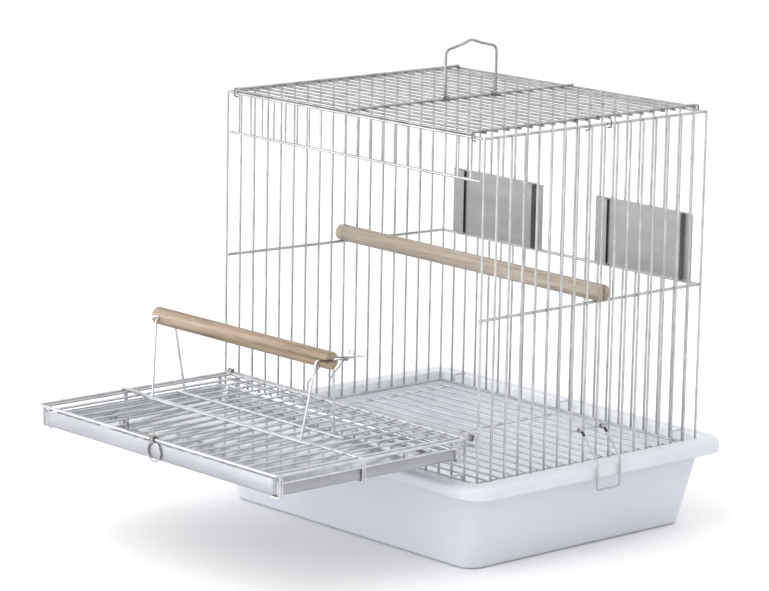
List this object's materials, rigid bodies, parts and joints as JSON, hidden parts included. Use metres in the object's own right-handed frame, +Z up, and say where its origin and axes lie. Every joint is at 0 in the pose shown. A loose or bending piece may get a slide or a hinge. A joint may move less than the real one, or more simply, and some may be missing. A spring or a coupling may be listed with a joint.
{
  "type": "wire bird cage",
  "caption": "Rectangular wire bird cage clipped on a deep plastic tray, its front folded down as a stage with a shallow metal pan and a perch, with a perch and sliding feeder doors inside.",
  "frame": {"origin": "centre of the tray's underside", "axes": "+Z up, +X to the right seen from the front, the front and its folded-down stage face -Y"},
  "size_m": [0.3798, 0.4992, 0.4227],
  "materials": {
    "tray_plastic": "smooth moulded plastic, soft sheen",
    "plated_wire": "bright plated wire",
    "pan_sheet": "polished plated sheet",
    "feeder_sheet": "satin plated sheet",
    "stage_wood": "bare turned pine",
    "perch_wood": "bare turned wood, weathered"
  },
  "bodies": {
    "tray": {"base_tray": "tray_plastic"},
    "cage": {"floor_grating": "plated_wire", "wall_left": "plated_wire", "wall_right": "plated_wire", "wall_back_lower": "plated_wire", "wall_back_upper": "plated_wire", "header_band": "plated_wire", "front_band": "plated_wire", "top_panel": "plated_wire", "feeder_guide_left_outer": "feeder_sheet", "feeder_guide_left_inner": "feeder_sheet", "feeder_guide_right_outer": "feeder_sheet", "feeder_guide_right_inner": "feeder_sheet"},
    "handle": {"handle": "plated_wire"},
    "door": {"door_grid": "plated_wire", "stage_pan": "pan_sheet", "perch_stand": "plated_wire", "stage_perch": "stage_wood"},
    "door_latch": {"latch_ring": "plated_wire"},
    "feeder_door_left": {"feeder_plate_left": "feeder_sheet"},
    "feeder_door_right": {"feeder_plate_right": "feeder_sheet"},
    "loop_left": {"side_latch_left": "plated_wire"},
    "loop_right": {"side_latch_right": "plated_wire"},
    "inside_perch": {"interior_perch": "perch_wood"}
  },
  "joints": [
    {"name": "cage_lift", "type": "slide", "parent": "tray", "child": "cage", "axis": [0, 0, 1], "range_m": [0, 0.15]},
    {"name": "handle_hinge", "type": "hinge", "parent": "cage", "child": "handle", "pos_m": [0, 0.0067, 0.371], "axis": [0, 1, 0], "range_deg": [-80, 80]},
    {"name": "door_hinge", "type": "hinge", "parent": "cage", "child": "door", "pos_m": [0, -0.1313, 0.1153], "axis": [-1, 0, 0], "range_deg": [0, 90]},
    {"name": "latch_hinge", "type": "hinge", "parent": "door", "child": "door_latch", "pos_m": [0, -0.3428, 0.1153], "axis": [-1, 0, 0], "range_deg": [0, 50]},
    {"name": "feeder_slide_left", "type": "slide", "parent": "cage", "child": "feeder_door_left", "axis": [0, 0, 1], "range_m": [0, 0.055]},
    {"name": "feeder_slide_right", "type": "slide", "parent": "cage", "child": "feeder_door_right", "axis": [0, 0, 1], "range_m": [0, 0.055]},
    {"name": "loop_hinge_left", "type": "hinge", "parent": "cage", "child": "loop_left", "pos_m": [-0.1664, 0, 0.1065], "axis": [0, 1, 0], "range_deg": [0, 100]},
    {"name": "loop_hinge_right", "type": "hinge", "parent": "cage", "child": "loop_right", "pos_m": [0.1664, 0, 0.1065], "axis": [0, -1, 0], "range_deg": [0, 100]},
    {"name": "perch_lift", "type": "slide", "parent": "cage", "child": "inside_perch", "axis": [0, 0, 1], "range_m": [0, 0.12]}
  ]
}
